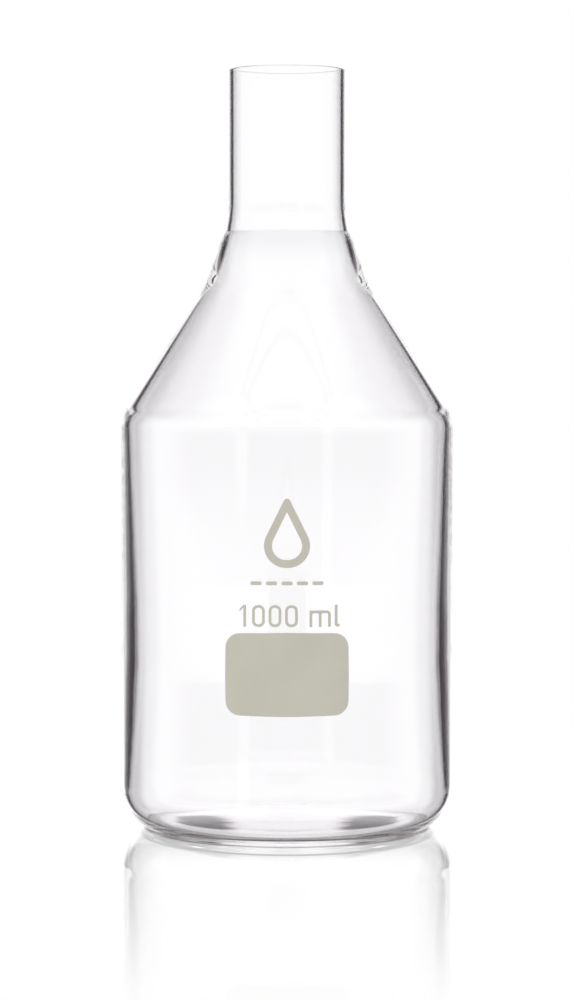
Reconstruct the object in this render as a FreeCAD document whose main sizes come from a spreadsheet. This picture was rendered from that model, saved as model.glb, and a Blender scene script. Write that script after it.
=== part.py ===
import FreeCAD, Part
import os
import re
import Sketcher

# A clear glass laboratory bottle of one litre, with a straight open neck and a conical shoulder.
# Millimetres. The origin is the centre of the base, where it stands, and +Z runs up the axis.
# The glass is one piece. The marks are fired enamel on the front, which faces -Y.

SIZES = [
    # The outside of the glass
    ("body_radius", 50.5),
    ("body_height", 125.9),        # base to the corner where wall and cone would meet
    ("shoulder_height", 55.9),     # that corner to the foot of the neck
    ("neck_length", 49.2),         # foot of the neck to the rim
    ("neck_radius", 17.75),
    ("shoulder_rounding", 14.0),
    # The collar between the cone and the neck
    ("collar_depth", 17.6),        # foot of the neck down to the waist, where the cone begins
    ("waist_spread", 7.6),         # how far the waist stands outside the neck
    ("bulge_depth", 2.0),
    ("bulge_spread", 2.05),
    ("foot_spread", 1.0),
    ("flare_length", 5.5),
    ("waist_rounding", 35.0),
    ("bulge_rounding", 17.0),
    ("foot_rounding", 2.0),
    ("flare_rounding", 25.0),
    # The foot of the bottle
    ("heel_tuck", 7.7),            # wall to the outer edge of the ring it stands on
    ("heel_rise", 6.0),
    ("heel_rounding", 17.0),
    ("ring_width", 3.4),
    ("ring_rounding", 2.6),
    ("push_up", 3.6),
    # Thickness of the glass
    ("neck_wall", 1.3),
    ("body_wall", 2.1),            # at the shoulder
    ("thick_wall", 4.2),           # low on the body, where the glass settled as it was blown
    ("thick_height", 50.0),
    ("heel_wall", 2.0),
    ("base_wall", 2.6),            # over the ring
    ("centre_wall", 4.2),          # on the axis
    ("rim_rounding", 0.6),
    ("waist_wall", 0.88),          # measured level, from the corner of the waist inwards
    ("inner_collar_rounding", 52.0),
    ("inner_shoulder_drop", 1.4),  # outer corner of the shoulder down to the inner one
    ("inner_shoulder_rounding", 9.0),
    ("inner_wall_rounding", 450.0),
    ("inner_heel_rounding", 11.5),
    ("inner_ring_rounding", 3.0),
    # The fired enamel
    ("enamel_depth", 0.1),
    ("stroke_width", 0.8),
    ("panel_drop", 86.1),          # corner of the shoulder down to the foot of the panel
    ("panel_width", 35.6),         # from corner to corner, as the height is
    ("panel_height", 23.8),
    ("panel_rounding", 4.2),
    ("panel_bulge", 0.6),          # how far the top and the foot bow outwards
    ("panel_bulge_rounding", 380.0),
    ("panel_end_bulge", 0.35),
    ("panel_end_rounding", 260.0),
    ("figure_gap", 2.05),          # panel to the figures over it
    ("figure_height", 6.4),
    ("figure_width", 3.7),
    ("figure_rounding", 1.7),
    ("one_left", 13.8),            # axis to the left edge of the one, and so on
    ("one_width", 1.9),
    ("one_flag", 1.2),
    ("zeros_left", 10.15),
    ("zero_pitch", 4.8),
    ("unit_left", 6.55),
    ("unit_width", 6.2),
    ("unit_height", 4.8),
    ("arch_rounding", 1.2),
    ("letter_gap", 1.15),
    ("letter_foot", 0.6),
    ("rule_gap", 5.8),             # figures to the rule over them
    ("dash_length", 3.2),
    ("dash_height", 1.1),
    ("dash_rounding", 0.45),
    ("dash_pitch", 4.5),
    ("emblem_gap", 3.95),          # rule to the emblem over it
    ("emblem_height", 21.4),
    ("emblem_half_width", 10.6),
    ("emblem_rounding", 6.4),
    ("emblem_tip_rounding", 1.0),
    ("emblem_band", 2.3),
]
ZERO_COUNT = 3
DASH_COUNT = 5

doc = FreeCAD.newDocument("LaboratoryBottle")
sheet = doc.addObject("Spreadsheet::Sheet", "Sizes")
for row, (alias, size) in enumerate(SIZES, start=1):
    sheet.set(f"A{row}", alias)
    sheet.set(f"B{row}", str(size))
    sheet.setAlias(f"B{row}", alias)
doc.recompute()


# Tools for drawing. Every place and size is a formula of the sheet's names, given as text.

def linked(formula):
    """The formula with each size's name pointing at its cell in the sheet."""
    return re.sub(r"\b([a-z]+(?:_[a-z]+)+)\b", r"Sizes.\1", formula)


def number(formula):
    """What the formula comes to with the sizes as they stand."""
    return float(sheet.evalExpression(linked(formula)))


def point(across, up):
    return FreeCAD.Vector(number(across), number(up), 0)


def bind(sketch, constraint, formula):
    """Adds a constraint whose value follows the formula."""
    index = sketch.addConstraint(constraint)
    sketch.setExpression(f"Constraints[{index}]", linked(formula))


def place_end(sketch, edge, end, across, up):
    """Holds one end of an edge at (across, up)."""
    here = point(across, up)
    bind(sketch, Sketcher.Constraint("DistanceX", -1, 1, edge, end, here.x), across)
    bind(sketch, Sketcher.Constraint("DistanceY", -1, 1, edge, end, here.y), up)


def join_ends(sketch, edge, end, other_edge, other_end):
    sketch.addConstraint(Sketcher.Constraint("Coincident", edge, end, other_edge, other_end))


def round_corner(sketch, edge, rounding):
    """Rounds the corner at the far end of an edge."""
    arc = sketch.GeometryCount
    sketch.fillet(edge, 2, number(rounding), 1, True)
    bind(sketch, Sketcher.Constraint("Radius", arc, number(rounding)), rounding)


def draw_corners(sketch, corners, closed=True):
    """Draws straight edges from corner to corner, then rounds the corners that ask for it.

    A corner is (across, up) or (across, up, rounding). Returns the first and the last edge.
    """
    first = sketch.GeometryCount
    ends = corners[1:] + corners[:1] if closed else corners[1:]
    for start, end in zip(corners, ends):
        sketch.addGeometry(Part.LineSegment(point(*start[:2]), point(*end[:2])), False)
    last = sketch.GeometryCount - 1
    for edge, corner in zip(range(first, last + 1), corners):
        place_end(sketch, edge, 1, *corner[:2])
    if not closed:
        place_end(sketch, last, 2, *corners[-1][:2])
    for edge in range(first, last):
        join_ends(sketch, edge, 2, edge + 1, 1)
    if closed:
        join_ends(sketch, last, 2, first, 1)
    for edge, corner in zip(range(first, last + 1), ends):
        if len(corner) == 3:
            round_corner(sketch, edge, corner[2])
    return first, last


def draw_dome(sketch, crown, edge, end):
    """Draws an arc, centred on the axis, from one end of an edge up to the crown."""
    rim = sketch.getPoint(edge, end)
    top = point("0", crown)
    rise = top.y - rim.y
    radius = (rim.x ** 2 + rise ** 2) / (2 * rise)
    centre = FreeCAD.Vector(0, top.y - radius, 0)
    halfway = (rim + top) / 2 - centre
    middle = centre + halfway * (radius / halfway.Length)
    arc = sketch.addGeometry(Part.Arc(rim, middle, top), False)
    join_ends(sketch, arc, 1, edge, end)
    sketch.addConstraint(Sketcher.Constraint("PointOnObject", arc, 3, -2))
    place_end(sketch, arc, 2, "0", crown)
    return arc


def new_sketch(body, name):
    """A sketch on the upright plane through the axis: across is X, up is Z, and it faces -Y."""
    sketch = body.newObject("Sketcher::SketchObject", name)
    upright = [plane for plane in body.Origin.OriginFeatures if plane.Role == "XZ_Plane"]
    sketch.AttachmentSupport = [(upright[0], "")]
    sketch.MapMode = "FlatFace"
    return sketch


# The glass: half the section of the bottle, turned about the axis.

NECK_FOOT = "(body_height + shoulder_height)"
TOTAL_HEIGHT = f"({NECK_FOOT} + neck_length)"
WAIST_HEIGHT = f"({NECK_FOOT} - collar_depth)"
WAIST_RADIUS = "(neck_radius + waist_spread)"
HEEL_SLOPE = "(heel_rise / heel_tuck)"
HEEL_UPRIGHT_WALL = f"(heel_wall * sqrt(1 + {HEEL_SLOPE} ^ 2))"
RING_OUTER = "(body_radius - heel_tuck)"
RING_INNER = f"({RING_OUTER} - ring_width)"
INNER_NECK = "(neck_radius - neck_wall)"
INNER_WAIST = f"({WAIST_RADIUS} - waist_wall)"
INNER_SHOULDER_RADIUS = "(body_radius - body_wall)"
INNER_SHOULDER_HEIGHT = "(body_height - inner_shoulder_drop)"
INNER_CONE_SLOPE = (f"(({WAIST_HEIGHT} - {INNER_SHOULDER_HEIGHT})"
                    f" / ({INNER_SHOULDER_RADIUS} - {INNER_WAIST}))")
INNER_CONE_TOP = f"({WAIST_HEIGHT} + ({INNER_WAIST} - {INNER_NECK}) * {INNER_CONE_SLOPE})"
RIM_ROUNDING = "min(rim_rounding; 0.48 * neck_wall)"

OUTSIDE = [
    (RING_INNER, "0"),
    (RING_OUTER, "0", "ring_rounding"),
    ("body_radius", "heel_rise", "heel_rounding"),
    ("body_radius", "body_height", "shoulder_rounding"),
    (WAIST_RADIUS, WAIST_HEIGHT, "waist_rounding"),
    ("neck_radius + bulge_spread", f"{NECK_FOOT} - bulge_depth", "bulge_rounding"),
    ("neck_radius + foot_spread", NECK_FOOT, "foot_rounding"),
    ("neck_radius", f"{NECK_FOOT} + flare_length", "flare_rounding"),
    ("neck_radius", TOTAL_HEIGHT, RIM_ROUNDING),
]
INSIDE = [
    (INNER_NECK, TOTAL_HEIGHT, RIM_ROUNDING),
    (INNER_NECK, INNER_CONE_TOP, "inner_collar_rounding"),
    (INNER_SHOULDER_RADIUS, INNER_SHOULDER_HEIGHT, "inner_shoulder_rounding"),
    ("body_radius - thick_wall", "thick_height", "inner_wall_rounding"),
    ("body_radius - heel_wall",
     f"heel_rise - heel_wall * {HEEL_SLOPE} + {HEEL_UPRIGHT_WALL}",
     "inner_heel_rounding"),
    (f"{RING_OUTER} + (base_wall - {HEEL_UPRIGHT_WALL}) / {HEEL_SLOPE}", "base_wall",
     "inner_ring_rounding"),
    (RING_INNER, "base_wall"),
]

bottle = doc.addObject("PartDesign::Body", "Bottle")
bottle.Label = "glass_bottle"
section = new_sketch(bottle, "BottleSection")
ring_edge, floor_edge = draw_corners(section, OUTSIDE + INSIDE, closed=False)
floor_dome = draw_dome(section, "push_up + centre_wall", floor_edge, 2)
push_up_dome = draw_dome(section, "push_up", ring_edge, 1)
crowns = section.getPoint(floor_dome, 2), section.getPoint(push_up_dome, 2)
axis_edge = section.addGeometry(Part.LineSegment(*crowns), False)
join_ends(section, axis_edge, 1, floor_dome, 2)
join_ends(section, axis_edge, 2, push_up_dome, 2)
turned = bottle.newObject("PartDesign::Revolution", "BottleTurned")
turned.Profile = section
turned.ReferenceAxis = (section, ["V_Axis"])
turned.Angle = 360


# The enamel: each mark is drawn flat, padded forwards, and kept only where it crosses a thin
# sleeve round the wall of the bottle.

def wall_cylinder(name, radius):
    cylinder = doc.addObject("Part::Cylinder", name)
    cylinder.setExpression("Radius", linked(radius))
    cylinder.setExpression("Height", linked("body_height"))
    return cylinder


sleeve = doc.addObject("Part::Cut", "EnamelSleeve")
sleeve.Base = wall_cylinder("EnamelFace", "body_radius + enamel_depth")
sleeve.Tool = wall_cylinder("GlassFace", "body_radius")


def enamel_mark(name, label, outlines):
    """A mark of fired enamel, from the closed outlines that it has on the front."""
    body = doc.addObject("PartDesign::Body", f"{name}Block")
    body.AllowCompound = True
    sketch = new_sketch(body, f"{name}Sketch")
    for corners in outlines:
        draw_corners(sketch, corners)
    pad = body.newObject("PartDesign::Pad", f"{name}Pad")
    pad.Profile = sketch
    pad.setExpression("Length", linked("body_radius + 2 * enamel_depth"))
    mark = doc.addObject("Part::Common", name)
    mark.Label = label
    mark.Base = body
    mark.Tool = sleeve
    return mark


def block(left, right, bottom, top, *rounding):
    """A rectangle, with or without its corners rounded."""
    return [(left, bottom, *rounding), (right, bottom, *rounding),
            (right, top, *rounding), (left, top, *rounding)]


PANEL_BASE = "(body_height - panel_drop)"
PANEL_TOP = f"({PANEL_BASE} + panel_height)"
FIGURE_BASE = f"({PANEL_TOP} + figure_gap)"
FIGURE_TOP = f"({FIGURE_BASE} + figure_height)"
RULE_BASE = f"({FIGURE_TOP} + rule_gap)"
EMBLEM_BASE = f"({RULE_BASE} + dash_height + emblem_gap)"


def bowed_panel():
    """A rectangle with rounded corners, whose four sides bow outwards a little."""
    half = "panel_width / 2"
    middle = f"{PANEL_BASE} + panel_height / 2"
    return [(f"-({half})", PANEL_BASE, "panel_rounding"),
            ("0", f"{PANEL_BASE} - panel_bulge", "panel_bulge_rounding"),
            (half, PANEL_BASE, "panel_rounding"),
            (f"{half} + panel_end_bulge", middle, "panel_end_rounding"),
            (half, PANEL_TOP, "panel_rounding"),
            ("0", f"{PANEL_TOP} + panel_bulge", "panel_bulge_rounding"),
            (f"-({half})", PANEL_TOP, "panel_rounding"),
            (f"-({half}) - panel_end_bulge", middle, "panel_end_rounding")]


def figure_one():
    right = "(one_width - one_left)"
    stem = f"({right} - stroke_width)"
    return [(right, FIGURE_BASE), (right, FIGURE_TOP), (stem, FIGURE_TOP),
            ("-one_left", f"{FIGURE_TOP} - one_flag"),
            ("-one_left", f"{FIGURE_TOP} - one_flag - stroke_width"),
            (stem, f"{FIGURE_TOP} - stroke_width"), (stem, FIGURE_BASE)]


def figure_zero(place):
    """The outer and the inner outline of a nought, counted from the left."""
    left = f"({place} * zero_pitch - zeros_left)"
    right = f"({left} + figure_width)"
    outer = block(left, right, FIGURE_BASE, FIGURE_TOP, "figure_rounding")
    inner = block(f"{left} + stroke_width", f"{right} - stroke_width",
                  f"{FIGURE_BASE} + stroke_width", f"{FIGURE_TOP} - stroke_width",
                  "figure_rounding - stroke_width")
    return [outer, inner]


def letter_m():
    right = "(unit_left + unit_width)"
    middle = "(unit_left + unit_width / 2)"
    top = f"({FIGURE_BASE} + unit_height)"
    under = f"({top} - stroke_width)"
    inner_rounding = "arch_rounding - stroke_width"
    return [("unit_left", FIGURE_BASE), ("unit_left", top), (right, top, "arch_rounding"),
            (right, FIGURE_BASE), (f"{right} - stroke_width", FIGURE_BASE),
            (f"{right} - stroke_width", under, inner_rounding),
            (f"{middle} + stroke_width / 2", under, inner_rounding),
            (f"{middle} + stroke_width / 2", FIGURE_BASE),
            (f"{middle} - stroke_width / 2", FIGURE_BASE),
            (f"{middle} - stroke_width / 2", under, inner_rounding),
            ("unit_left + stroke_width", under, inner_rounding),
            ("unit_left + stroke_width", FIGURE_BASE)]


def letter_l():
    left = "(unit_left + unit_width + letter_gap)"
    stem = f"({left} + stroke_width)"
    foot = f"({stem} + letter_foot)"
    sole = f"({FIGURE_BASE} + stroke_width)"
    return [(left, FIGURE_BASE, "stroke_width"), (foot, FIGURE_BASE), (foot, sole),
            (stem, sole), (stem, FIGURE_TOP), (left, FIGURE_TOP)]


def rule_dash(place):
    """One dash of the rule, counted from the left of a row that is centred on the axis."""
    middle = f"({place - (DASH_COUNT - 1) / 2} * dash_pitch)"
    return block(f"{middle} - dash_length / 2", f"{middle} + dash_length / 2",
                 RULE_BASE, f"{RULE_BASE} + dash_height", "dash_rounding")


def drop_outlines():
    """A drop, as a triangle with a round foot, and the same drop inside it, a band smaller."""
    slant = "sqrt(emblem_half_width ^ 2 + emblem_height ^ 2)"
    inscribed = f"(emblem_half_width * emblem_height / (emblem_half_width + {slant}))"
    shrink = f"(1 - emblem_band / {inscribed})"
    inner_base = f"{EMBLEM_BASE} + emblem_band"
    outer = [("-emblem_half_width", EMBLEM_BASE, "emblem_rounding"),
             ("emblem_half_width", EMBLEM_BASE, "emblem_rounding"),
             ("0", f"{EMBLEM_BASE} + emblem_height", "emblem_tip_rounding")]
    inner = [(f"-emblem_half_width * {shrink}", inner_base, "emblem_rounding - emblem_band"),
             (f"emblem_half_width * {shrink}", inner_base, "emblem_rounding - emblem_band"),
             ("0", f"{inner_base} + emblem_height * {shrink}")]
    return [outer, inner]


zeros = [line for place in range(ZERO_COUNT) for line in figure_zero(place)]
parts = [
    bottle,
    enamel_mark("Panel", "writing_panel", [bowed_panel()]),
    enamel_mark("Capacity", "capacity_mark", [figure_one(), *zeros, letter_m(), letter_l()]),
    enamel_mark("Rule", "rule_mark", [rule_dash(place) for place in range(DASH_COUNT)]),
    enamel_mark("Emblem", "emblem_mark", drop_outlines()),
]
doc.recompute()

# Nothing is written unless the whole document is sound.
for feature in doc.Objects:
    if "Invalid" in feature.State or "Error" in feature.State:
        raise RuntimeError(f"{feature.Name} failed: {feature.State}")
for part in parts:
    if part.Shape.isNull() or not part.Shape.isValid():
        raise RuntimeError(f"{part.Label} has no sound shape")

os.makedirs("parts", exist_ok=True)
for part in parts:
    part.Shape.exportStep(f"parts/{part.Label}.step")
    box = part.Shape.optimalBoundingBox()
    size = f"{box.XLength:.2f} x {box.YLength:.2f} x {box.ZLength:.2f} mm"
    print(f"{part.Label}: {len(part.Shape.Solids)} solid(s), {part.Shape.Volume:.1f} mm3, {size}")
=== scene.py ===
"""A one-litre laboratory bottle of clear glass, printed with fired enamel, on a white bench.

Everything is in metres, in the bottle's own frame: the origin is the centre of the base, +Z runs
up the axis and the marks are on the front, which faces -Y.
"""

import logging
import math
from collections import Counter
from dataclasses import dataclass, field
from enum import Enum
from typing import Iterable, NamedTuple, Sequence

import bmesh
import bpy
from bpy.types import Material, Mesh, NodeTree, Object
from bpy.types import NodeSocket as Socket
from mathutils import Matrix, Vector


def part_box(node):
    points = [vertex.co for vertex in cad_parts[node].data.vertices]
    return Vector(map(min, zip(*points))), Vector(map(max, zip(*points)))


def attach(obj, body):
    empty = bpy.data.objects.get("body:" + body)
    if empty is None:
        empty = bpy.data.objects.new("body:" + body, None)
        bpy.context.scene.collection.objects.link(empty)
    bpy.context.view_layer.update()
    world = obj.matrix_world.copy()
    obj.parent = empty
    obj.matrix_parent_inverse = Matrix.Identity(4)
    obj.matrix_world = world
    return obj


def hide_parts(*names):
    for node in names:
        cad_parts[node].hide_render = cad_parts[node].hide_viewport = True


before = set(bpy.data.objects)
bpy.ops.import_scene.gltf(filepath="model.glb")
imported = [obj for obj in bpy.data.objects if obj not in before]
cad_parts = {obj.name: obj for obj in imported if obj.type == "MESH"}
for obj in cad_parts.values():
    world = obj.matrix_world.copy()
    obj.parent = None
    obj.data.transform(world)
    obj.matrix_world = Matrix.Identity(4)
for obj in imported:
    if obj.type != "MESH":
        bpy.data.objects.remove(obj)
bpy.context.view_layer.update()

MM = 0.001
LOG = logging.getLogger("bottle")
SAME_POINT = 0.001 * MM  # points closer than this are one
LEAST_TURN = 1e-6  # a corner that turns less, in radians, has nothing to round

Point = tuple[float, float]
Span = tuple[float, float]
Colour = tuple[float, float, float, float]


# --- Outlines -----------------------------------------------------------------


class Corner(NamedTuple):
    """A corner of an outline, where two straight runs would meet, and how far it is rounded."""

    across: float
    up: float
    rounding: float = 0.0


def rounded(before: Point, corner: Corner, after: Point, step: float) -> list[Point]:
    """Rounds one corner of an outline.

    Args:
        before: A point on the run into the corner.
        corner: The corner itself.
        after: A point on the run out of it.
        step: The largest turn between two points of the arc, in radians.

    Returns:
        The points of the arc, or the corner alone where it isn't rounded.
    """
    here = Vector((corner.across, corner.up))
    back = (Vector(before) - here).normalized()
    onward = (Vector(after) - here).normalized()
    turn = math.pi - back.angle(onward)
    if corner.rounding <= 0 or turn < LEAST_TURN:
        return [(here.x, here.y)]
    tangent = corner.rounding * math.tan(turn / 2)
    centre = here + (back + onward).normalized() * (corner.rounding / math.cos(turn / 2))
    start = here + back * tangent - centre
    finish = here + onward * tangent - centre
    count = max(2, math.ceil(turn / step))
    points = []
    for index in range(count + 1):
        share = index / count
        spoke = (
            start * math.sin((1 - share) * turn) + finish * math.sin(share * turn)
        ) / math.sin(turn)
        points.append((centre.x + spoke.x, centre.y + spoke.y))
    return points


def outline(corners: Sequence[Corner], step: float, closed: bool) -> list[Point]:
    """Turns corners into points, with each rounding as an arc.

    Args:
        corners: The corners in order.
        step: The largest turn between two points of an arc, in radians.
        closed: Whether the last corner joins the first.

    Returns:
        The points in order.
    """
    count = len(corners)
    points: list[Point] = []
    for index, corner in enumerate(corners):
        if not closed and index in (0, count - 1):
            points.append((corner.across, corner.up))
            continue
        before = corners[index - 1][:2]
        after = corners[(index + 1) % count][:2]
        points.extend(rounded(before, corner, after, step))
    return points


def dome(radius: float, rim: float, crown: float, steps: int) -> list[Point]:
    """Points of a shallow dome, from its rim up to the crown on the axis.

    Args:
        radius: How far the rim is from the axis.
        rim: The height of the rim.
        crown: The height of the crown.
        steps: How many spans the arc is cut into.

    Returns:
        The points after the rim, ending on the axis.
    """
    rise = crown - rim
    ball = (radius**2 + rise**2) / (2 * rise)
    points = []
    for index in range(1, steps + 1):
        across = radius * (1 - index / steps)
        points.append((across, crown - ball + math.sqrt(ball**2 - across**2)))
    return points


def spaced(points: Sequence[Point], longest: float) -> list[Point]:
    """Cuts long spans of an outline so that none is longer than asked.

    Args:
        points: The outline.
        longest: The longest span allowed.

    Returns:
        The outline with points added along its long spans.
    """
    result = [points[0]]
    for start, end in zip(points, points[1:]):
        cuts = max(1, math.ceil(math.dist(start, end) / longest))
        for index in range(1, cuts + 1):
            share = index / cuts
            result.append(
                (start[0] + (end[0] - start[0]) * share, start[1] + (end[1] - start[1]) * share)
            )
    return result


def degrees(start: float, end: float) -> Span:
    """A span of angles, from its two ends in degrees."""
    return math.radians(start), math.radians(end)


def block(left: float, right: float, bottom: float, top: float, rounding: float) -> list[Corner]:
    """The four corners of a rectangle, all rounded alike."""
    places = (left, bottom), (right, bottom), (right, top), (left, top)
    return [Corner(across, up, rounding) for across, up in places]


# --- Node trees ---------------------------------------------------------------


class Kind(Enum):
    """What a socket of a node group carries."""

    NUMBER = "NodeSocketFloat"
    WHOLE = "NodeSocketInt"
    SHAPE = "NodeSocketGeometry"
    FINISH = "NodeSocketMaterial"


@dataclass
class Tree:
    """A node tree under construction, with short ways to add, set and join its nodes."""

    nodes: NodeTree

    @classmethod
    def group(
        cls, name: str, kind: str, inputs: dict[str, Kind], outputs: dict[str, Kind]
    ) -> "Tree":
        """Starts a node group with named sockets.

        Args:
            name: The group's name.
            kind: The tree's type, such as ShaderNodeTree.
            inputs: The kind of each input, by name.
            outputs: The kind of each output, by name.

        Returns:
            The new tree, with its sockets made.
        """
        nodes = bpy.data.node_groups.new(name, kind)
        for way, sockets in (("INPUT", inputs), ("OUTPUT", outputs)):
            for label, socket in sockets.items():
                nodes.interface.new_socket(name=label, in_out=way, socket_type=socket.value)
        return cls(nodes)

    @classmethod
    def of(cls, owner: Material | bpy.types.World) -> "Tree":
        """Takes over the tree of a material or a world, and empties it.

        Args:
            owner: The material or the world.

        Returns:
            Its tree, with no nodes.
        """
        owner.use_nodes = True
        owner.node_tree.nodes.clear()
        return cls(owner.node_tree)

    def add(self, kind: str, inputs: dict | None = None, **settings: object) -> bpy.types.Node:
        """Adds a node.

        Args:
            kind: The node's type.
            inputs: What goes into each input, by name or number: a value or another socket.
            **settings: The node's own settings.

        Returns:
            The node.
        """
        node = self.nodes.nodes.new(kind)
        for label, value in settings.items():
            setattr(node, label, value)
        for label, value in (inputs or {}).items():
            self.feed(node.inputs[label], value)
        return node

    def feed(self, socket: Socket, value: object) -> None:
        """Sets a socket to a value, or links it to another socket.

        Args:
            socket: The socket that is set.
            value: The value, or the socket that it comes from.
        """
        if isinstance(value, Socket):
            self.nodes.links.new(value, socket)
        else:
            socket.default_value = value

    def math(self, operation: str, *values: object) -> Socket:
        """Works out one sum of numbers or sockets and returns the socket with its result."""
        inputs = dict(enumerate(values))
        return self.add("ShaderNodeMath", inputs, operation=operation).outputs[0]

    def vector(self, x: object = 0.0, y: object = 0.0, z: object = 0.0) -> Socket:
        """Joins three numbers or sockets into a vector."""
        return self.add("ShaderNodeCombineXYZ", {0: x, 1: y, 2: z}).outputs[0]

    def parts(self, vector: Socket) -> list[Socket]:
        """Takes a vector apart into its three numbers."""
        return list(self.add("ShaderNodeSeparateXYZ", {0: vector}).outputs)

    def mix(self, share: object, first: object, second: object) -> Socket:
        """Blends from the first number to the second by a share."""
        node = self.add("ShaderNodeMix", {0: share, 2: first, 3: second}, data_type="FLOAT")
        return node.outputs[0]

    def blend(self, share: object, first: object, second: object) -> Socket:
        """Blends from the first colour to the second by a share."""
        node = self.add("ShaderNodeMix", {0: share, 6: first, 7: second}, data_type="RGBA")
        return node.outputs[2]

    def layer(self, share: object, first: object, second: object) -> Socket:
        """Blends from the first shader to the second by a share."""
        return self.add("ShaderNodeMixShader", {0: share, 1: first, 2: second}).outputs[0]

    def bump(self, height: object, distance: float, strength: float) -> Socket:
        """Turns a height over the surface into a normal."""
        inputs = {"Height": height, "Distance": distance, "Strength": strength}
        return self.add("ShaderNodeBump", inputs).outputs["Normal"]

    def mottled(self, mottle: NodeTree, size: float) -> Socket:
        """Uses the shared unevenness at one size."""
        return self.add("ShaderNodeGroup", {"Size": size}, node_tree=mottle).outputs["Value"]

    def round_axis(self, radius: object, x: object, y: object, z: object) -> Socket:
        """A point at a radius from the axis, towards x and y, at the height z."""
        return self.vector(self.math("MULTIPLY", radius, x), self.math("MULTIPLY", radius, y), z)

    def sample(self, shape: object, value: object, index: object, kind: str) -> Socket:
        """Reads a value of the given kind at one numbered point of a shape."""
        inputs = {"Geometry": shape, "Value": value, "Index": index}
        return self.add("GeometryNodeSampleIndex", inputs, data_type=kind).outputs[0]

    def ramp(self, value: object, low: object, high: object, start: object, end: object) -> Socket:
        """Eases from start to end as value goes from low to high.

        Args:
            value: The socket that is followed.
            low: Where the easing begins.
            high: Where it ends.
            start: The result at low.
            end: The result at high.

        Returns:
            The socket with the result.
        """
        inputs = {"Value": value, "From Min": low, "From Max": high}
        inputs |= {"To Min": start, "To Max": end}
        node = self.add("ShaderNodeMapRange", inputs, interpolation_type="SMOOTHSTEP")
        return node.outputs["Result"]

    def finish(self, surface: Socket) -> None:
        """Ends a material with its surface."""
        self.add("ShaderNodeOutputMaterial", {"Surface": surface})

    def dress(self, shape: Socket, finish: object, name: str) -> None:
        """Ends a geometry tree: one real mesh in its finish.

        Args:
            shape: The shape that the tree has made.
            finish: The socket with the material.
            name: The name of the tree's output.
        """
        real = self.add("GeometryNodeRealizeInstances", {"Geometry": shape})
        inputs = {"Geometry": real.outputs[0], "Material": finish}
        dressed = self.add("GeometryNodeSetMaterial", inputs)
        self.add("NodeGroupOutput", {name: dressed.outputs[0]})


def placed(name: str, data: bpy.types.ID) -> Object:
    """Makes an object and puts it in the scene."""
    item = bpy.data.objects.new(name, data)
    bpy.context.scene.collection.objects.link(item)
    return item


def plain_mesh(carrier: Object) -> Mesh:
    """Takes the finished mesh of an object and clears the object away.

    Args:
        carrier: The object, which is removed.

    Returns:
        A mesh of its own.
    """
    bpy.context.view_layer.update()
    depsgraph = bpy.context.evaluated_depsgraph_get()
    mesh = bpy.data.meshes.new_from_object(carrier.evaluated_get(depsgraph))
    carrier.modifiers.clear()
    bpy.data.objects.remove(carrier)
    return mesh


def shaped(name: str, flat: Mesh, tree: NodeTree, values: dict[str, object]) -> Mesh:
    """Runs a mesh through a geometry tree and keeps the plain result.

    Args:
        name: The name of the new mesh.
        flat: The mesh that goes in.
        tree: The geometry tree.
        values: What each of the tree's named inputs is set to.

    Returns:
        The new mesh.
    """
    carrier = placed(f"{name}_carrier", flat)
    modifier = carrier.modifiers.new("shape", "NODES")
    modifier.node_group = tree
    identifiers = {
        item.name: item.identifier
        for item in tree.interface.items_tree
        if item.item_type == "SOCKET" and item.in_out == "INPUT"
    }
    for label, value in values.items():
        modifier[identifiers[label]] = value
    mesh = plain_mesh(carrier)
    mesh.name = name
    return mesh


# --- Finishes -----------------------------------------------------------------


@dataclass(frozen=True)
class Mottle:
    """A slow unevenness over a surface, shared by the glass and the enamel."""

    detail: float = 3.0
    roughness: float = 0.55
    spread: Span = (0.3, 0.7)

    def group(self) -> NodeTree:
        """Makes the shader group.

        Returns:
            A group from Size, in metres, to a value between nought and one.
        """
        sockets = {"Size": Kind.NUMBER}, {"Value": Kind.NUMBER}
        tree = Tree.group("slow_mottle", "ShaderNodeTree", *sockets)
        given = tree.add("NodeGroupInput").outputs
        inputs = {
            "Vector": tree.add("ShaderNodeTexCoord").outputs["Object"],
            "Scale": tree.math("DIVIDE", 1.0, given["Size"]),
            "Detail": self.detail,
            "Roughness": self.roughness,
        }
        noise = tree.add("ShaderNodeTexNoise", inputs)
        value = tree.ramp(noise.outputs["Fac"], *self.spread, 0.0, 1.0)
        tree.add("NodeGroupOutput", {"Value": value})
        return tree.nodes


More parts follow.
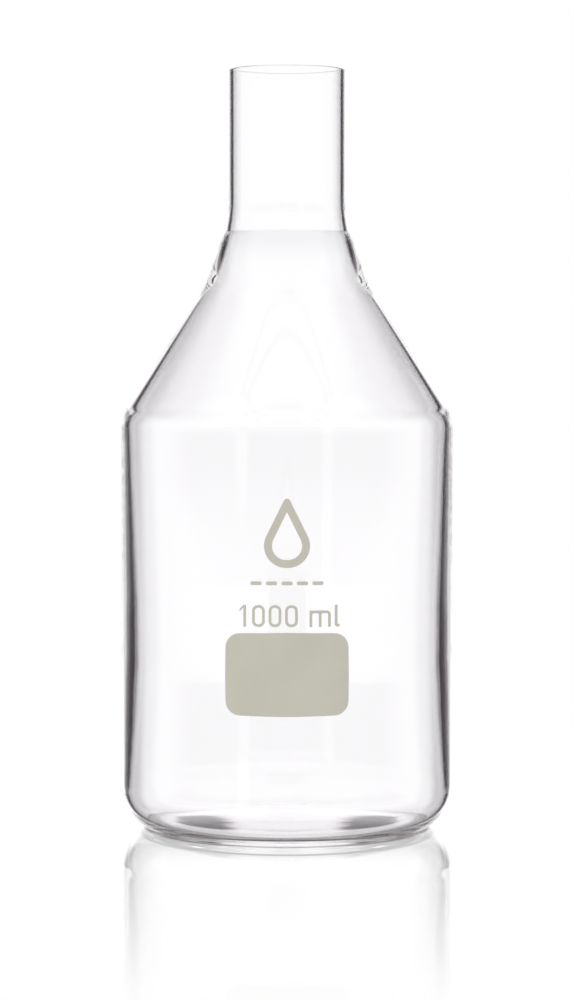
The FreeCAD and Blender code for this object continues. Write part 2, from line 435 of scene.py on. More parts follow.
@dataclass(frozen=True)
class ClearGlass:
    """Clear borosilicate glass, fire polished, with the faint ripple that blowing leaves.

    Under the foot of the neck its colour is painted greyer, as painted shade, and that fades out
    down the collar.
    """

    name: str = "borosilicate_glass"
    refraction: float = 1.473
    tint: Colour = (0.994, 0.988, 0.995, 1.0)
    ripple_size: float = 14 * MM
    ripple_depth: float = 0.004 * MM
    collar_top: float = 181.8 * MM
    collar_edge: float = 0.5 * MM
    collar_foot: float = 171 * MM
    # the grey of the painted shade under the foot of the neck
    collar_painted_shade: Colour = (0.925, 0.925, 0.935, 1.0)

    def material(self, mottle: NodeTree) -> Material:
        """Makes the glass.

        Args:
            mottle: The shared unevenness.

        Returns:
            The finished material.
        """
        material = bpy.data.materials.new(self.name)
        tree = Tree.of(material)
        ripple = tree.mottled(mottle, self.ripple_size)
        height = tree.parts(tree.add("ShaderNodeTexCoord").outputs["Object"])[2]
        # the share of painted shade: full just under the foot of the neck, fading out down the
        # collar
        edge = self.collar_top - self.collar_edge
        under = tree.ramp(height, edge, self.collar_top, 1.0, 0.0)
        over = tree.ramp(height, self.collar_foot, edge, 0.0, 1.0)
        share = tree.math("MULTIPLY", under, over)
        inputs = {
            "Base Color": tree.blend(share, self.tint, self.collar_painted_shade),
            "Roughness": 0.0,
            "IOR": self.refraction,
            "Transmission Weight": 1.0,
            "Normal": tree.bump(ripple, self.ripple_depth, 1.0),
        }
        tree.finish(tree.add("ShaderNodeBsdfPrincipled", inputs).outputs["BSDF"])
        return material


@dataclass(frozen=True)
class FiredEnamel:
    """Matt grey-beige enamel, screen printed and fired into the glass."""

    name: str = "fired_enamel"
    light: Colour = (0.618, 0.6, 0.512, 1.0)
    dark: Colour = (0.577, 0.559, 0.473, 1.0)
    refraction: float = 1.52
    roughness: Span = (0.5, 0.62)
    cloud_size: float = 16 * MM
    cloud_share: float = 0.75
    grain_size: float = 0.22 * MM
    grain_depth: float = 0.012 * MM
    grain_strength: float = 0.6

    def material(self, mottle: NodeTree) -> Material:
        """Makes the enamel.

        Args:
            mottle: The shared unevenness.

        Returns:
            The finished material.
        """
        material = bpy.data.materials.new(self.name)
        tree = Tree.of(material)
        clouds = tree.mottled(mottle, self.cloud_size)
        grain = tree.mottled(mottle, self.grain_size)
        share = tree.mix(self.cloud_share, grain, clouds)
        inputs = {
            "Base Color": tree.blend(share, self.dark, self.light),
            "Roughness": tree.mix(grain, *self.roughness),
            "IOR": self.refraction,
            "Normal": tree.bump(grain, self.grain_depth, self.grain_strength),
        }
        tree.finish(tree.add("ShaderNodeBsdfPrincipled", inputs).outputs["BSDF"])
        return material


@dataclass(frozen=True)
class WhiteBench:
    """A glossy white bench that burns out to the white of the room and mirrors the bottle."""

    name: str = "white_bench"
    white: Colour = (1.0, 1.0, 1.0, 1.0)
    refraction: float = 1.45
    roughness: float = 0.035
    near: float = 40 * MM
    far: float = 300 * MM
    strength: float = 1.4
    contact: Span = (39.4 * MM, 43 * MM)
    contact_blur: float = 1.4 * MM
    contact_share: float = 0.8
    shadow: Colour = (0.05, 0.04, 0.03, 1.0)

    def material(self) -> Material:
        """Makes the bench: white to look at, and a mirror that fades away from the bottle.

        Returns:
            The finished material.
        """
        material = bpy.data.materials.new(self.name)
        tree = Tree.of(material)
        seen = tree.add("ShaderNodeLightPath").outputs["Is Camera Ray"]
        below = tree.add("ShaderNodeNewGeometry").outputs["Backfacing"]
        gloss = tree.add("ShaderNodeFresnel", {"IOR": self.refraction}).outputs[0]
        white = tree.add("ShaderNodeEmission", {"Color": self.white}).outputs[0]
        dark = tree.add("ShaderNodeEmission", {"Color": self.shadow}).outputs[0]
        clear = tree.add("ShaderNodeBsdfTransparent").outputs[0]
        inputs = {"Color": self.white, "Roughness": self.roughness}
        mirror = tree.add("ShaderNodeBsdfGlossy", inputs).outputs[0]
        place = tree.add("ShaderNodeTexCoord").outputs["Object"]
        length = tree.add("ShaderNodeVectorMath", {0: place}, operation="LENGTH")
        reach = length.outputs["Value"]
        plain = tree.layer(seen, clear, white)
        ground = tree.layer(self.under_bottle(tree, reach), plain, dark)
        fade = tree.ramp(reach, self.near, self.far, self.strength, 0.0)
        top = tree.layer(tree.math("MULTIPLY", gloss, fade), ground, mirror)
        tree.finish(tree.layer(below, top, clear))
        return material

    def under_bottle(self, tree: Tree, reach: Socket) -> Socket:
        """How dark the bench is in the ring that the bottle stands on.

        Args:
            tree: The tree that the nodes go in.
            reach: The distance from the bottle's axis.

        Returns:
            The socket with the share of shadow.
        """
        inner, outer = self.contact
        rise = tree.ramp(reach, inner - self.contact_blur, inner, 0.0, self.contact_share)
        fall = tree.ramp(reach, outer, outer + self.contact_blur, 1.0, 0.0)
        return tree.math("MULTIPLY", rise, fall)


# --- The glass ----------------------------------------------------------------


def turned_tree() -> NodeTree:
    """Turns a half section about the Z axis and lets the inside wall waver a little.

    Returns:
        A geometry tree from the section, its finish, the count of segments, and the waver's
        depth, size and squash along the axis, to the solid.
    """
    inputs = {
        "Section": Kind.SHAPE,
        "Segments": Kind.WHOLE,
        "Waver": Kind.NUMBER,
        "Waver Size": Kind.NUMBER,
        "Waver Squash": Kind.NUMBER,
        "Finish": Kind.FINISH,
    }
    tree = Tree.group("turned_about_axis", "GeometryNodeTree", inputs, {"Solid": Kind.SHAPE})
    given = tree.add("NodeGroupInput").outputs
    section, segments = given["Section"], given["Segments"]
    size = tree.add("GeometryNodeAttributeDomainSize", {0: section}, component="MESH")
    count = size.outputs["Point Count"]
    rings = tree.math("ADD", segments, 1.0)
    grid = tree.add("GeometryNodeMeshGrid", {"Vertices X": rings, "Vertices Y": count})
    index = tree.add("GeometryNodeInputIndex").outputs[0]
    along = tree.math("MODULO", index, count)
    # half a step keeps each whole number clear of rounding
    around = tree.math("FLOOR", tree.math("DIVIDE", tree.math("ADD", index, 0.5), count))
    angle = tree.math("MULTIPLY", tree.math("DIVIDE", around, segments), 2 * math.pi)
    towards = tree.math("COSINE", angle), tree.math("SINE", angle)
    position = tree.add("GeometryNodeInputPosition").outputs[0]
    inside = tree.add("GeometryNodeInputNamedAttribute", {"Name": "inside"}, data_type="FLOAT")
    point = tree.sample(section, position, along, "FLOAT_VECTOR")
    depth = tree.sample(section, inside.outputs[0], along, "FLOAT")
    radius, _, height = tree.parts(point)
    squashed = tree.math("MULTIPLY", height, given["Waver Squash"])
    clouds = {
        "Vector": tree.round_axis(radius, *towards, squashed),
        "Scale": tree.math("DIVIDE", 1.0, given["Waver Size"]),
        "Detail": 1.0,
    }
    noise = tree.add("ShaderNodeTexNoise", clouds)
    swing = tree.math("SUBTRACT", noise.outputs["Fac"], 0.5)
    swing = tree.math("MULTIPLY", tree.math("MULTIPLY", swing, given["Waver"]), depth)
    place = tree.round_axis(tree.math("ADD", radius, swing), *towards, height)
    moved = {"Geometry": grid.outputs["Mesh"], "Position": place}
    turned = tree.add("GeometryNodeSetPosition", moved)
    joined = {"Geometry": turned.outputs[0], "Distance": SAME_POINT}
    merged = tree.add("GeometryNodeMergeByDistance", joined)
    smooth = tree.add("GeometryNodeSetShadeSmooth", {"Geometry": merged.outputs[0]})
    tree.dress(smooth.outputs[0], given["Finish"], "Solid")
    return tree.nodes


@dataclass
class GlassVessel:
    """The bottle itself: one piece of glass, turned from half its section."""

    finish: Material
    body_radius: float
    top: float
    body_height: float = 125.9 * MM
    shoulder_height: float = 55.9 * MM
    neck_radius: float = 17.75 * MM
    shoulder_rounding: float = 14 * MM
    collar_depth: float = 17.6 * MM
    waist_spread: float = 7.6 * MM
    bulge_depth: float = 2 * MM
    bulge_spread: float = 2.05 * MM
    foot_spread: float = 1 * MM
    flare_length: float = 5.5 * MM
    waist_rounding: float = 35 * MM
    bulge_rounding: float = 17 * MM
    foot_rounding: float = 2 * MM
    flare_rounding: float = 25 * MM
    heel_tuck: float = 7.7 * MM
    heel_rise: float = 6 * MM
    heel_rounding: float = 17 * MM
    ring_width: float = 3.4 * MM
    ring_rounding: float = 2.6 * MM
    push_up: float = 3.6 * MM
    neck_wall: float = 1.3 * MM
    body_wall: float = 2.1 * MM
    thick_wall: float = 4.2 * MM
    thick_height: float = 50 * MM
    heel_wall: float = 2 * MM
    base_wall: float = 2.6 * MM
    centre_wall: float = 4.2 * MM
    rim_rounding: float = 0.62 * MM
    waist_wall: float = 0.88 * MM
    inner_collar_rounding: float = 52 * MM
    inner_shoulder_drop: float = 1.4 * MM
    inner_shoulder_rounding: float = 9 * MM
    inner_wall_rounding: float = 450 * MM
    inner_heel_rounding: float = 11.5 * MM
    inner_ring_rounding: float = 3 * MM
    segments: int = 288
    arc_step: float = math.radians(4)
    longest_span: float = 3.5 * MM
    dome_steps: int = 14
    waver: float = 0.06 * MM
    waver_size: float = 45 * MM
    waver_squash: float = 0.35
    calm_rim: float = 30 * MM
    calm_centre: float = 20 * MM

    @classmethod
    def in_frame(cls, finish: Material) -> "GlassVessel":
        """The vessel at the size that the frame's glass has.

        Args:
            finish: The glass.

        Returns:
            The vessel.
        """
        low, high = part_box("glass_bottle")
        return cls(finish, body_radius=(high[0] - low[0]) / 2, top=high[2])

    def outside(self) -> list[Corner]:
        """The corners of the outside.

        Returns:
            The corners from the ring that it stands on up to the rim.
        """
        foot = self.body_height + self.shoulder_height
        ring = self.body_radius - self.heel_tuck
        bulge = self.neck_radius + self.bulge_spread
        return [
            Corner(ring - self.ring_width, 0.0),
            Corner(ring, 0.0, self.ring_rounding),
            Corner(self.body_radius, self.heel_rise, self.heel_rounding),
            Corner(self.body_radius, self.body_height, self.shoulder_rounding),
            Corner(*self.waist(), self.waist_rounding),
            Corner(bulge, foot - self.bulge_depth, self.bulge_rounding),
            Corner(self.neck_radius + self.foot_spread, foot, self.foot_rounding),
            Corner(self.neck_radius, foot + self.flare_length, self.flare_rounding),
            Corner(self.neck_radius, self.top, self.rim_rounding),
        ]

    def waist(self) -> Point:
        """Where the cone of the shoulder gives way to the collar."""
        foot = self.body_height + self.shoulder_height
        return self.neck_radius + self.waist_spread, foot - self.collar_depth

    def inside(self) -> list[Corner]:
        """The corners of the inside.

        Returns:
            The corners from the rim down to the floor over the ring.
        """
        neck = self.neck_radius - self.neck_wall
        waist_radius, waist_height = self.waist()
        waist_radius -= self.waist_wall
        shoulder_radius = self.body_radius - self.body_wall
        shoulder_height = self.body_height - self.inner_shoulder_drop
        slope = (waist_height - shoulder_height) / (shoulder_radius - waist_radius)
        cone_top = waist_height + (waist_radius - neck) * slope
        thick_radius = self.body_radius - self.thick_wall
        heel = self.heel_rise / self.heel_tuck
        heel_wall = self.heel_wall * math.hypot(1, heel)
        heel_radius = self.body_radius - self.heel_wall
        heel_height = self.heel_rise - self.heel_wall * heel + heel_wall
        ring = self.body_radius - self.heel_tuck
        ring_radius = ring + (self.base_wall - heel_wall) / heel
        return [
            Corner(neck, self.top, self.rim_rounding),
            Corner(neck, cone_top, self.inner_collar_rounding),
            Corner(shoulder_radius, shoulder_height, self.inner_shoulder_rounding),
            Corner(thick_radius, self.thick_height, self.inner_wall_rounding),
            Corner(heel_radius, heel_height, self.inner_heel_rounding),
            Corner(ring_radius, self.base_wall, self.inner_ring_rounding),
            Corner(ring - self.ring_width, self.base_wall),
        ]

    def section(self) -> Mesh:
        """Half the section as a string of points in the XZ plane.

        Returns:
            A mesh of points and edges, with a number at each point that says how far inside it is.
        """
        corners = self.outside() + self.inside()
        walls = spaced(outline(corners, self.arc_step, False), self.longest_span)
        underside = dome(*walls[0], self.push_up, self.dome_steps)
        floor = dome(*walls[-1], self.push_up + self.centre_wall, self.dome_steps)
        points = [*reversed(underside), *walls, *floor]
        rim = max(range(len(points)), key=lambda index: points[index][1])
        mesh = bpy.data.meshes.new("bottle_section")
        edges = [(index, index + 1) for index in range(len(points) - 1)]
        mesh.from_pydata([(across, 0.0, up) for across, up in points], edges, [])
        inside = mesh.attributes.new("inside", "FLOAT", "POINT")
        for index, (across, up) in enumerate(points):
            below_rim = min(1.0, max(0.0, (self.top - up) / self.calm_rim))
            off_axis = min(1.0, across / self.calm_centre)
            inside.data[index].value = below_rim * off_axis if index > rim else 0.0
        return mesh

    def build(self, tree: NodeTree) -> Object:
        """Turns the section and puts the vessel in the frame.

        Args:
            tree: The geometry tree that turns a section.

        Returns:
            The finished piece.
        """
        values = {
            "Segments": self.segments,
            "Waver": self.waver,
            "Waver Size": self.waver_size,
            "Waver Squash": self.waver_squash,
            "Finish": self.finish,
        }
        mesh = shaped("clear_glass_bottle", self.section(), tree, values)
        face_outwards(mesh)
        return adopt(mesh, "glass_bottle")


# --- The enamel ---------------------------------------------------------------


def printed_tree() -> NodeTree:
    """Prints a flat stencil in a row and lays it on the wall of the bottle.

    Returns:
        A geometry tree from the stencil, Count, Pitch, Wall Radius and Finish to the print.
    """
    inputs = {
        "Stencil": Kind.SHAPE,
        "Count": Kind.WHOLE,
        "Pitch": Kind.NUMBER,
        "Wall Radius": Kind.NUMBER,
        "Finish": Kind.FINISH,
    }
    tree = Tree.group("printed_on_wall", "GeometryNodeTree", inputs, {"Print": Kind.SHAPE})
    given = tree.add("NodeGroupInput").outputs
    line = {"Count": given["Count"], "Offset": tree.vector(given["Pitch"])}
    row = tree.add("GeometryNodeMeshLine", line).outputs[0]
    prints = {"Points": row, "Instance": given["Stencil"]}
    copies = tree.add("GeometryNodeInstanceOnPoints", prints)
    real = tree.add("GeometryNodeRealizeInstances", {"Geometry": copies.outputs[0]})
    across, up, proud = tree.parts(tree.add("GeometryNodeInputPosition").outputs[0])
    wall = given["Wall Radius"]
    angle = tree.math("ARCSINE", tree.math("DIVIDE", across, wall))
    towards = tree.math("SINE", angle), tree.math("MULTIPLY", tree.math("COSINE", angle), -1.0)
    place = tree.round_axis(tree.math("ADD", wall, proud), *towards, up)
    laid = tree.add("GeometryNodeSetPosition", {"Geometry": real.outputs[0], "Position": place})
    tree.dress(laid.outputs[0], given["Finish"], "Print")
    return tree.nodes


@dataclass
class Stencil:
    """A flat shape that is printed once or several times in a row."""

    outlines: list[list[Corner]]
    count: int = 1
    pitch: float = 0.0


@dataclass
class EnamelMark:
    """A mark of fired enamel on the front of the bottle, sunk a little into the glass."""

    finish: Material
    wall_radius: float
    node: str = ""
    sunk: float = 0.04 * MM
    proud: float = 0.09 * MM
    edge: float = 0.03 * MM
    facet: float = 0.9 * MM
    arc_step: float = math.radians(9)

    def stencils(self) -> list[Stencil]:
        """The flat shapes that make up the mark."""
        raise NotImplementedError

    def low(self) -> Vector:
        """The lowest corner of the mark's place in the frame."""
        return Vector(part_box(self.node)[0])

    def high(self) -> Vector:
        """The highest corner of the mark's place in the frame."""
        return Vector(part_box(self.node)[1])

    def flat_mesh(self, outlines: Iterable[Sequence[Corner]]) -> Mesh:
        """Cuts a stencil out of a thin sheet.

        Args:
            outlines: The closed outlines, with those of holes inside the others.

        Returns:
            A closed flat mesh, cut into narrow strips so that it can bend.
        """
        curve = bpy.data.curves.new(f"{self.node}_outline", "CURVE")
        curve.dimensions = "2D"
        curve.fill_mode = "BOTH"
        curve.extrude = (self.sunk + self.proud) / 2 - self.edge
        curve.bevel_depth = self.edge
        curve.bevel_resolution = 1
        curve.offset = -self.edge
        for corners in outlines:
            points = outline(corners, self.arc_step, True)
            spline = curve.splines.new("POLY")
            spline.points.add(len(points) - 1)
            for point, (across, up) in zip(spline.points, points):
                point.co = (across, up, 0.0, 1.0)
            spline.use_cyclic_u = True
        mesh = plain_mesh(placed(curve.name, curve))
        lift = (self.proud - self.sunk) / 2
        shape = bmesh.new()
        shape.from_mesh(mesh)
        bmesh.ops.remove_doubles(shape, verts=shape.verts, dist=SAME_POINT)
        bmesh.ops.translate(shape, verts=shape.verts, vec=(0.0, 0.0, lift))
        left = min(vertex.co.x for vertex in shape.verts)
        right = max(vertex.co.x for vertex in shape.verts)
        for cut in range(1, math.ceil((right - left) / self.facet)):
            parts = [*shape.verts, *shape.edges, *shape.faces]
            here = (left + cut * self.facet, 0.0, 0.0)
            bmesh.ops.bisect_plane(shape, geom=parts, plane_co=here, plane_no=(1.0, 0.0, 0.0))
        shape.to_mesh(mesh)
        shape.free()
        return mesh

    def build(self, tree: NodeTree) -> Object:
        """Prints the mark and puts it in the frame.

        Args:
            tree: The geometry tree that lays a stencil on the wall.

        Returns:
            The finished piece.
        """
        whole = bmesh.new()
        for stencil in self.stencils():
            values = {
                "Count": stencil.count,
                "Pitch": stencil.pitch,
                "Wall Radius": self.wall_radius,
                "Finish": self.finish,
            }
            whole.from_mesh(shaped(self.node, self.flat_mesh(stencil.outlines), tree, values))
        mesh = bpy.data.meshes.new(f"enamel_{self.node}")
        whole.to_mesh(mesh)
        whole.free()
        mesh.materials.append(self.finish)
        face_outwards(mesh)
        return adopt(mesh, self.node)


@dataclass
class WritingPanel(EnamelMark):
    """The rounded rectangle that is left plain for writing on."""

    node: str = "writing_panel"
    width: float = 35.6 * MM
    height: float = 23.8 * MM
    rounding: float = 4.2 * MM
    bulge: float = 0.6 * MM
    bulge_rounding: float = 380 * MM
    end_bulge: float = 0.35 * MM
    end_rounding: float = 260 * MM

    def stencils(self) -> list[Stencil]:
        """The panel's shape.

        Returns:
            One rounded rectangle, whose four sides bow outwards a little.
        """
        middle = (self.low().z + self.high().z) / 2
        half = self.width / 2
        base, top = middle - self.height / 2, middle + self.height / 2
        corners = [
            Corner(-half, base, self.rounding),
            Corner(0.0, base - self.bulge, self.bulge_rounding),
            Corner(half, base, self.rounding),
            Corner(half + self.end_bulge, middle, self.end_rounding),
            Corner(half, top, self.rounding),
            Corner(0.0, top + self.bulge, self.bulge_rounding),
            Corner(-half, top, self.rounding),
            Corner(-half - self.end_bulge, middle, self.end_rounding),
        ]
        return [Stencil([corners])]


@dataclass
class CapacityFigures(EnamelMark):
    """The capacity in plain figures, with its unit."""

    node: str = "capacity_mark"
    stroke: float = 0.8 * MM
    figure_width: float = 3.7 * MM
    figure_rounding: float = 1.7 * MM
    one_width: float = 1.9 * MM
    one_flag: float = 1.2 * MM
    zeros_inset: float = 3.65 * MM
    zero_count: int = 3
    zero_pitch: float = 4.8 * MM
    unit_inset: float = 20.35 * MM
    unit_width: float = 6.2 * MM
    unit_height: float = 4.8 * MM
    arch_rounding: float = 1.2 * MM
    letter_gap: float = 1.15 * MM
    letter_foot: float = 0.6 * MM

    def one(self) -> Stencil:
        """The figure one.

        Returns:
            A stem with a flag.
        """
        low, high = self.low(), self.high()
        right = low.x + self.one_width
        stem = right - self.stroke
        corners = [
            Corner(right, low.z),
            Corner(right, high.z),
            Corner(stem, high.z),
            Corner(low.x, high.z - self.one_flag),
            Corner(low.x, high.z - self.one_flag - self.stroke),
            Corner(stem, high.z - self.stroke),
            Corner(stem, low.z),
        ]
        return Stencil([corners])

    def zeros(self) -> Stencil:
        """The noughts.

        Returns:
            One nought, printed in a row.
        """
        low, high = self.low(), self.high()
        left = low.x + self.zeros_inset
        right = left + self.figure_width
        stroke = self.stroke
        inner = self.figure_rounding - stroke
        outlines = [
            block(left, right, low.z, high.z, self.figure_rounding),
            block(left + stroke, right - stroke, low.z + stroke, high.z - stroke, inner),
        ]
        return Stencil(outlines, self.zero_count, self.zero_pitch)

    def letter_m(self) -> Stencil:
        """The first letter of the unit.

        Returns:
            Three stems under two arches.
        """
        base = self.low().z
        left = self.low().x + self.unit_inset
        right = left + self.unit_width
        middle = (left + right) / 2
        top = base + self.unit_height
        under = top - self.stroke
        arch = self.arch_rounding
        inner = arch - self.stroke
        half = self.stroke / 2
        corners = [
            Corner(left, base),
            Corner(left, top),
            Corner(right, top, arch),
            Corner(right, base),
            Corner(right - self.stroke, base),
            Corner(right - self.stroke, under, inner),
            Corner(middle + half, under, inner),
            Corner(middle + half, base),
            Corner(middle - half, base),
            Corner(middle - half, under, inner),
            Corner(left + self.stroke, under, inner),
            Corner(left + self.stroke, base),
        ]
        return Stencil([corners])

    def letter_l(self) -> Stencil:
        """The second letter of the unit.

        Returns:
            A stem with a small foot.
        """
        low, high = self.low(), self.high()
        left = low.x + self.unit_inset + self.unit_width + self.letter_gap
        stem = left + self.stroke
        foot = stem + self.letter_foot
        sole = low.z + self.stroke
        corners = [
            Corner(left, low.z, self.stroke),
            Corner(foot, low.z),
            Corner(foot, sole),
            Corner(stem, sole),
            Corner(stem, high.z),
            Corner(left, high.z),
        ]
        return Stencil([corners])

    def stencils(self) -> list[Stencil]:
        """The figures and the two letters."""
        return [self.one(), self.zeros(), self.letter_m(), self.letter_l()]


@dataclass
class DashRule(EnamelMark):
    """A plain row of dashes between the figures and the emblem."""

    node: str = "rule_mark"
    count: int = 5
    length: float = 3.2 * MM
    rounding: float = 0.45 * MM

    def stencils(self) -> list[Stencil]:
        """The dashes.

        Returns:
            One dash, printed in a row.
        """
        low, high = self.low(), self.high()
        pitch = (high.x - low.x - self.length) / (self.count - 1)
        dash = block(low.x, low.x + self.length, low.z, high.z, self.rounding)
        return [Stencil([dash], self.count, pitch)]


@dataclass
class DropEmblem(EnamelMark):
    """A plain drop, drawn as a broad line."""

    node: str = "emblem_mark"
    height: float = 21.4 * MM
    half_width: float = 10.6 * MM
    rounding: float = 6.4 * MM
    tip_rounding: float = 1 * MM
    band: float = 2.3 * MM

    def triangle(self, base: float, shrink: float, foot: float, tip: float) -> list[Corner]:
        """A drop as a triangle with a round foot.

        Args:
            base: The height of its foot.
            shrink: Its size as a share of the whole emblem's.
            foot: The rounding of the two lower corners.
            tip: The rounding of the tip.

        Returns:
            The three corners.
        """
        return [
            Corner(-self.half_width * shrink, base, foot),
            Corner(self.half_width * shrink, base, foot),
            Corner(0.0, base + self.height * shrink, tip),
        ]

    def stencils(self) -> list[Stencil]:
        """The drop.

        Returns:
            The drop with a smaller drop cut out of it.
        """
        base = self.low().z
        slant = math.hypot(self.half_width, self.height)
        inscribed = self.half_width * self.height / (self.half_width + slant)
        shrink = 1 - self.band / inscribed
        outer = self.triangle(base, 1.0, self.rounding, self.tip_rounding)
        inner = self.triangle(base + self.band, shrink, self.rounding - self.band, 0.0)
        return [Stencil([outer, inner])]


# --- Pieces in the frame ------------------------------------------------------


def face_outwards(mesh: Mesh) -> None:
    """Turns every face of a closed mesh outwards.

    Args:
        mesh: The mesh, changed in place.
    """
    shape = bmesh.new()
    shape.from_mesh(mesh)
    bmesh.ops.remove_doubles(shape, verts=shape.verts, dist=SAME_POINT / 2)
    bmesh.ops.recalc_face_normals(shape, faces=shape.faces)
    shape.to_mesh(mesh)
    shape.free()


def adopt(mesh: Mesh, node: str) -> Object:
    """Makes a mesh a piece of the object, in place of the frame's own node.

    Args:
        mesh: The piece's mesh, already in place.
        node: The node that it stands for.

    Returns:
        The piece.
    """
    piece = placed(mesh.name, mesh)
    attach(piece, "root")
    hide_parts(node)
    uses = Counter(key for face in mesh.polygons for key in face.edge_keys)
    open_edges = sum(1 for count in uses.values() if count != 2)
    LOG.info("%s: %d faces, %d open edges", piece.name, len(mesh.polygons), open_edges)
    return piece


# --- The studio ---------------------------------------------------------------


@dataclass
class BrightField:
    """Light for clear glass: a bright panel behind it and dark flags at the sides.

    There is such a panel behind the bottle from each eighth of a turn, so that it is lit the same
    way from all round. What the camera sees past the glass is plain white. Light that has been
    reflected on its way sees narrow flags, softer slopes above and below, and a room in front of
    the bottle that is bright but for a low dark band.
    """

    panel: float = 1.02
    flag: Colour = (0.07, 0.062, 0.074, 1.0)
    white: Colour = (1.0, 1.0, 1.0, 1.0)
    dusk: Colour = (1.0, 0.84, 1.0, 1.0)
    dusk_levels: Span = (0.05, 0.9)
    room: float = 0.84
    overhead: float = 1.0
    floor: float = 0.86
    spacing: float = math.radians(45)
    main_edge: Span = degrees(16, 30)
    other_edge: Span = degrees(4, 9)
    steep: Span = degrees(58, 70)
    low_floor: Span = degrees(-7, -16)
    mirror_bright: float = 1.05
    mirror_dark: float = 0.06
    mirror_edge: Span = degrees(16.5, 25)
    mirror_side: Span = degrees(51, 64)
    side_level: float = 0.9
    front: Span = degrees(80, 110)
    mirror_steep: Span = degrees(21, 33)
    steep_share: float = 0.5
    band_top: Span = degrees(0.8, 1.6)
    band_foot: Span = degrees(-3.6, -2)
    strip_centre: float = math.radians(149)
    strip_edge: Span = degrees(3, 5)

    def build(self) -> None:
        """Makes the world."""
        world = bpy.data.worlds.new("bright_field")
        tree = Tree.of(world)
        direction = tree.add("ShaderNodeTexCoord").outputs["Generated"]
        x, y, z = tree.parts(direction)
        turn = tree.math("ARCTAN2", x, y)
        climb = tree.math("ARCSINE", z)
        share = self.through_glass(tree, turn)
        steepness = tree.ramp(tree.math("ABSOLUTE", climb), *self.steep, 0.0, 1.0)
        share = tree.mix(steepness, share, self.overhead)
        level = tree.ramp(climb, *reversed(self.low_floor), self.floor, 1.0)
        level = tree.math("MULTIPLY", level, self.panel)
        rays = tree.add("ShaderNodeLightPath").outputs
        mirrored = tree.math("MINIMUM", rays["Glossy Depth"], 1.0)
        diffuse, seen = rays["Is Diffuse Ray"], rays["Is Camera Ray"]
        level = tree.mix(mirrored, level, self.in_mirror(tree, turn, climb))
        level = tree.mix(diffuse, level, self.room)
        level = tree.mix(seen, level, 1.0)
        plain = tree.math("MAXIMUM", mirrored, tree.math("MAXIMUM", diffuse, seen))
        hue = tree.blend(tree.ramp(level, *self.dusk_levels, 0.0, 1.0), self.dusk, self.white)
        tint = tree.blend(plain, tree.blend(share, self.flag, self.white), hue)
        shade = tree.add("ShaderNodeBackground", {"Color": tint, "Strength": level})
        tree.add("ShaderNodeOutputWorld", {"Surface": shade.outputs[0]})
        bpy.context.scene.world = world

    def through_glass(self, tree: Tree, turn: Socket) -> Socket:
        """How bright each direction is to light that comes through the glass.

        Args:
            tree: The tree that the nodes go in.
            turn: The direction's turn from straight behind the bottle.

        Returns:
            The socket with one in the panels and nought in the flags.
        """
        eighths = tree.math("DIVIDE", turn, self.spacing)
        nearest = tree.math("ROUND", eighths)
        off = tree.math("ABSOLUTE", tree.math("SUBTRACT", eighths, nearest))
        off = tree.math("MULTIPLY", off, self.spacing)
        is_other = tree.math("MODULO", tree.math("ABSOLUTE", nearest), 2.0)
        starts = tree.mix(is_other, self.main_edge[0], self.other_edge[0])
        ends = tree.mix(is_other, self.main_edge[1], self.other_edge[1])
        return tree.ramp(off, starts, ends, 1.0, 0.0)

    def in_mirror(self, tree: Tree, turn: Socket, climb: Socket) -> Socket:
        """How bright each direction is to a mirror reflection.

        Args:
            tree: The tree that the nodes go in.
            turn: The direction's turn from straight behind the bottle.
            climb: The direction's angle above the horizon.

        Returns:
            The socket with the brightness.
        """
        away = tree.math("ABSOLUTE", turn)
        back = tree.ramp(away, *self.mirror_edge, self.mirror_bright, self.mirror_dark)
        side = tree.ramp(away, *self.mirror_side, 0.0, self.side_level)
        slope = tree.math("ABSOLUTE", climb)
        fade = tree.ramp(slope, *self.mirror_steep, 1.0, self.steep_share)
        back = tree.math("MULTIPLY", tree.math("MAXIMUM", back, side), fade)
        above = tree.ramp(climb, *self.band_top, 0.0, 1.0)
        below = tree.ramp(climb, *self.band_foot, 1.0, 0.0)
        strip = tree.math("ABSOLUTE", tree.math("ADD", turn, self.strip_centre))
        strip = tree.ramp(strip, *self.strip_edge, 1.0, 0.0)
        front = tree.math("MAXIMUM", tree.math("MAXIMUM", above, below), strip)
        front = tree.math("MULTIPLY", front, self.mirror_bright)
        in_front = tree.ramp(away, *self.front, 0.0, 1.0)
        return tree.mix(in_front, back, front)


@dataclass
class SoftBox:
    """A tall soft light in front of the bottle."""

    name: str = "left_key"
    azimuth: float = math.radians(-50)
    distance: float = 1.5
    height: float = 0.3
    width: float = 0.5
    length: float = 0.8
    power: float = 1.2

    def build(self) -> Object:
        """Hangs the light and turns it to the bottle.

        Returns:
            The light.
        """
        data = bpy.data.lights.new(self.name, "AREA")
        data.shape = "RECTANGLE"
        data.size = self.width
        data.size_y = self.length
        data.energy = self.power
        light = placed(self.name, data)
        place = Vector((math.sin(self.azimuth), -math.cos(self.azimuth), 0.0)) * self.distance
        place.z = self.height
        light.location = place
        aim = Vector((0.0, 0.0, self.height)) - place
        light.rotation_euler = aim.to_track_quat("-Z", "Y").to_euler()
        light.visible_camera = False
        light.visible_glossy = False
        light.visible_transmission = False
        return light


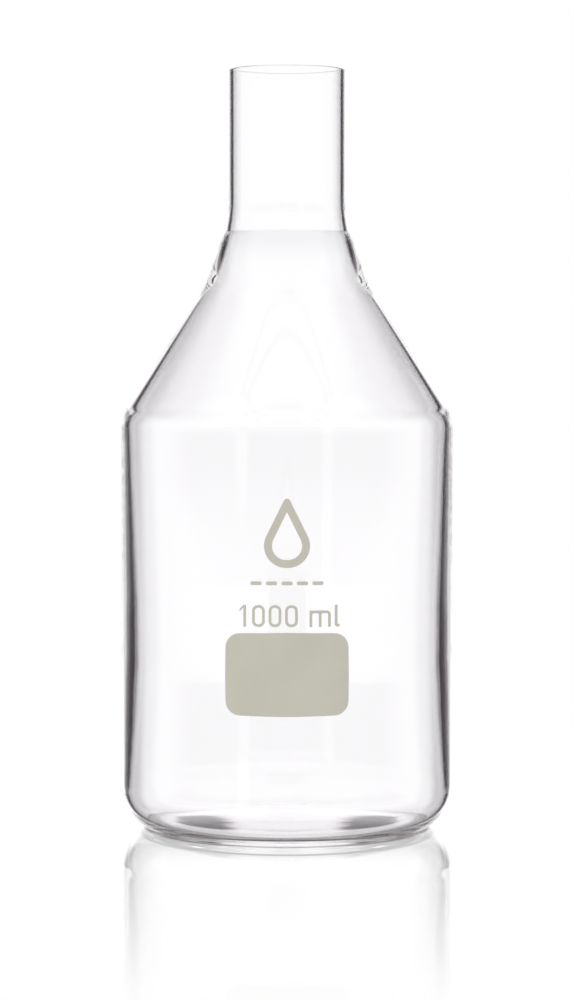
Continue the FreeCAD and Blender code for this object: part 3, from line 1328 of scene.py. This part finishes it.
@dataclass
class Bench:
    """The round white bench top that the bottle stands on."""

    finish: Material
    radius: float = 0.9
    sides: int = 96
    gap: float = 0.02 * MM

    def build(self) -> Object:
        """Makes the bench top.

        Returns:
            The bench.
        """
        mesh = bpy.data.meshes.new("bench_top")
        shape = bmesh.new()
        bmesh.ops.create_circle(shape, cap_ends=True, segments=self.sides, radius=self.radius)
        bmesh.ops.translate(shape, verts=shape.verts, vec=(0.0, 0.0, -self.gap))
        shape.to_mesh(mesh)
        shape.free()
        mesh.materials.append(self.finish)
        bench = placed("bench_top", mesh)
        return bench


@dataclass
class Viewpoint:
    """The camera: a long lens, a little above the middle of the bottle, looking slightly down."""

    distance: float = 983 * MM
    height: float = 149.4 * MM
    pitch: float = math.radians(2.87)
    lens: float = 115.96
    sensor: float = 36.0
    nearest: float = 10 * MM

    def build(self) -> Object:
        """Sets up the camera.

        Returns:
            The camera.
        """
        data = bpy.data.cameras.new("camera")
        data.sensor_fit = "VERTICAL"
        data.sensor_height = self.sensor
        data.lens = self.lens
        data.clip_start = self.nearest
        camera = placed("camera", data)
        camera.location = (0.0, -self.distance, self.height)
        camera.rotation_euler = (math.pi / 2 - self.pitch, 0.0, 0.0)
        bpy.context.scene.camera = camera
        return camera


@dataclass
class Studio:
    """Everything round the bottle: light, bench and camera."""

    bench_finish: Material
    bounces: int = 128
    light: BrightField = field(default_factory=BrightField)
    camera: Viewpoint = field(default_factory=Viewpoint)
    key: SoftBox = field(default_factory=SoftBox)

    def build(self) -> None:
        """Sets up the studio."""
        self.light.build()
        self.key.build()
        Bench(self.bench_finish).build()
        self.camera.build()
        scene = bpy.context.scene
        scene.view_settings.view_transform = "Standard"
        for limit in ("max", "transmission", "glossy", "transparent_max"):
            setattr(scene.cycles, f"{limit}_bounces", self.bounces)


def main() -> None:
    """Builds the finishes, the pieces and the studio, in that order."""
    logging.basicConfig(level=logging.INFO, format="%(name)s: %(message)s")
    mottle = Mottle().group()
    glass = ClearGlass().material(mottle)
    enamel = FiredEnamel().material(mottle)
    vessel = GlassVessel.in_frame(glass)
    vessel.build(turned_tree())
    printed = printed_tree()
    for mark in (WritingPanel, CapacityFigures, DashRule, DropEmblem):
        mark(enamel, vessel.body_radius).build(printed)
    Studio(WhiteBench().material()).build()


if __name__ == "__main__":
    main()
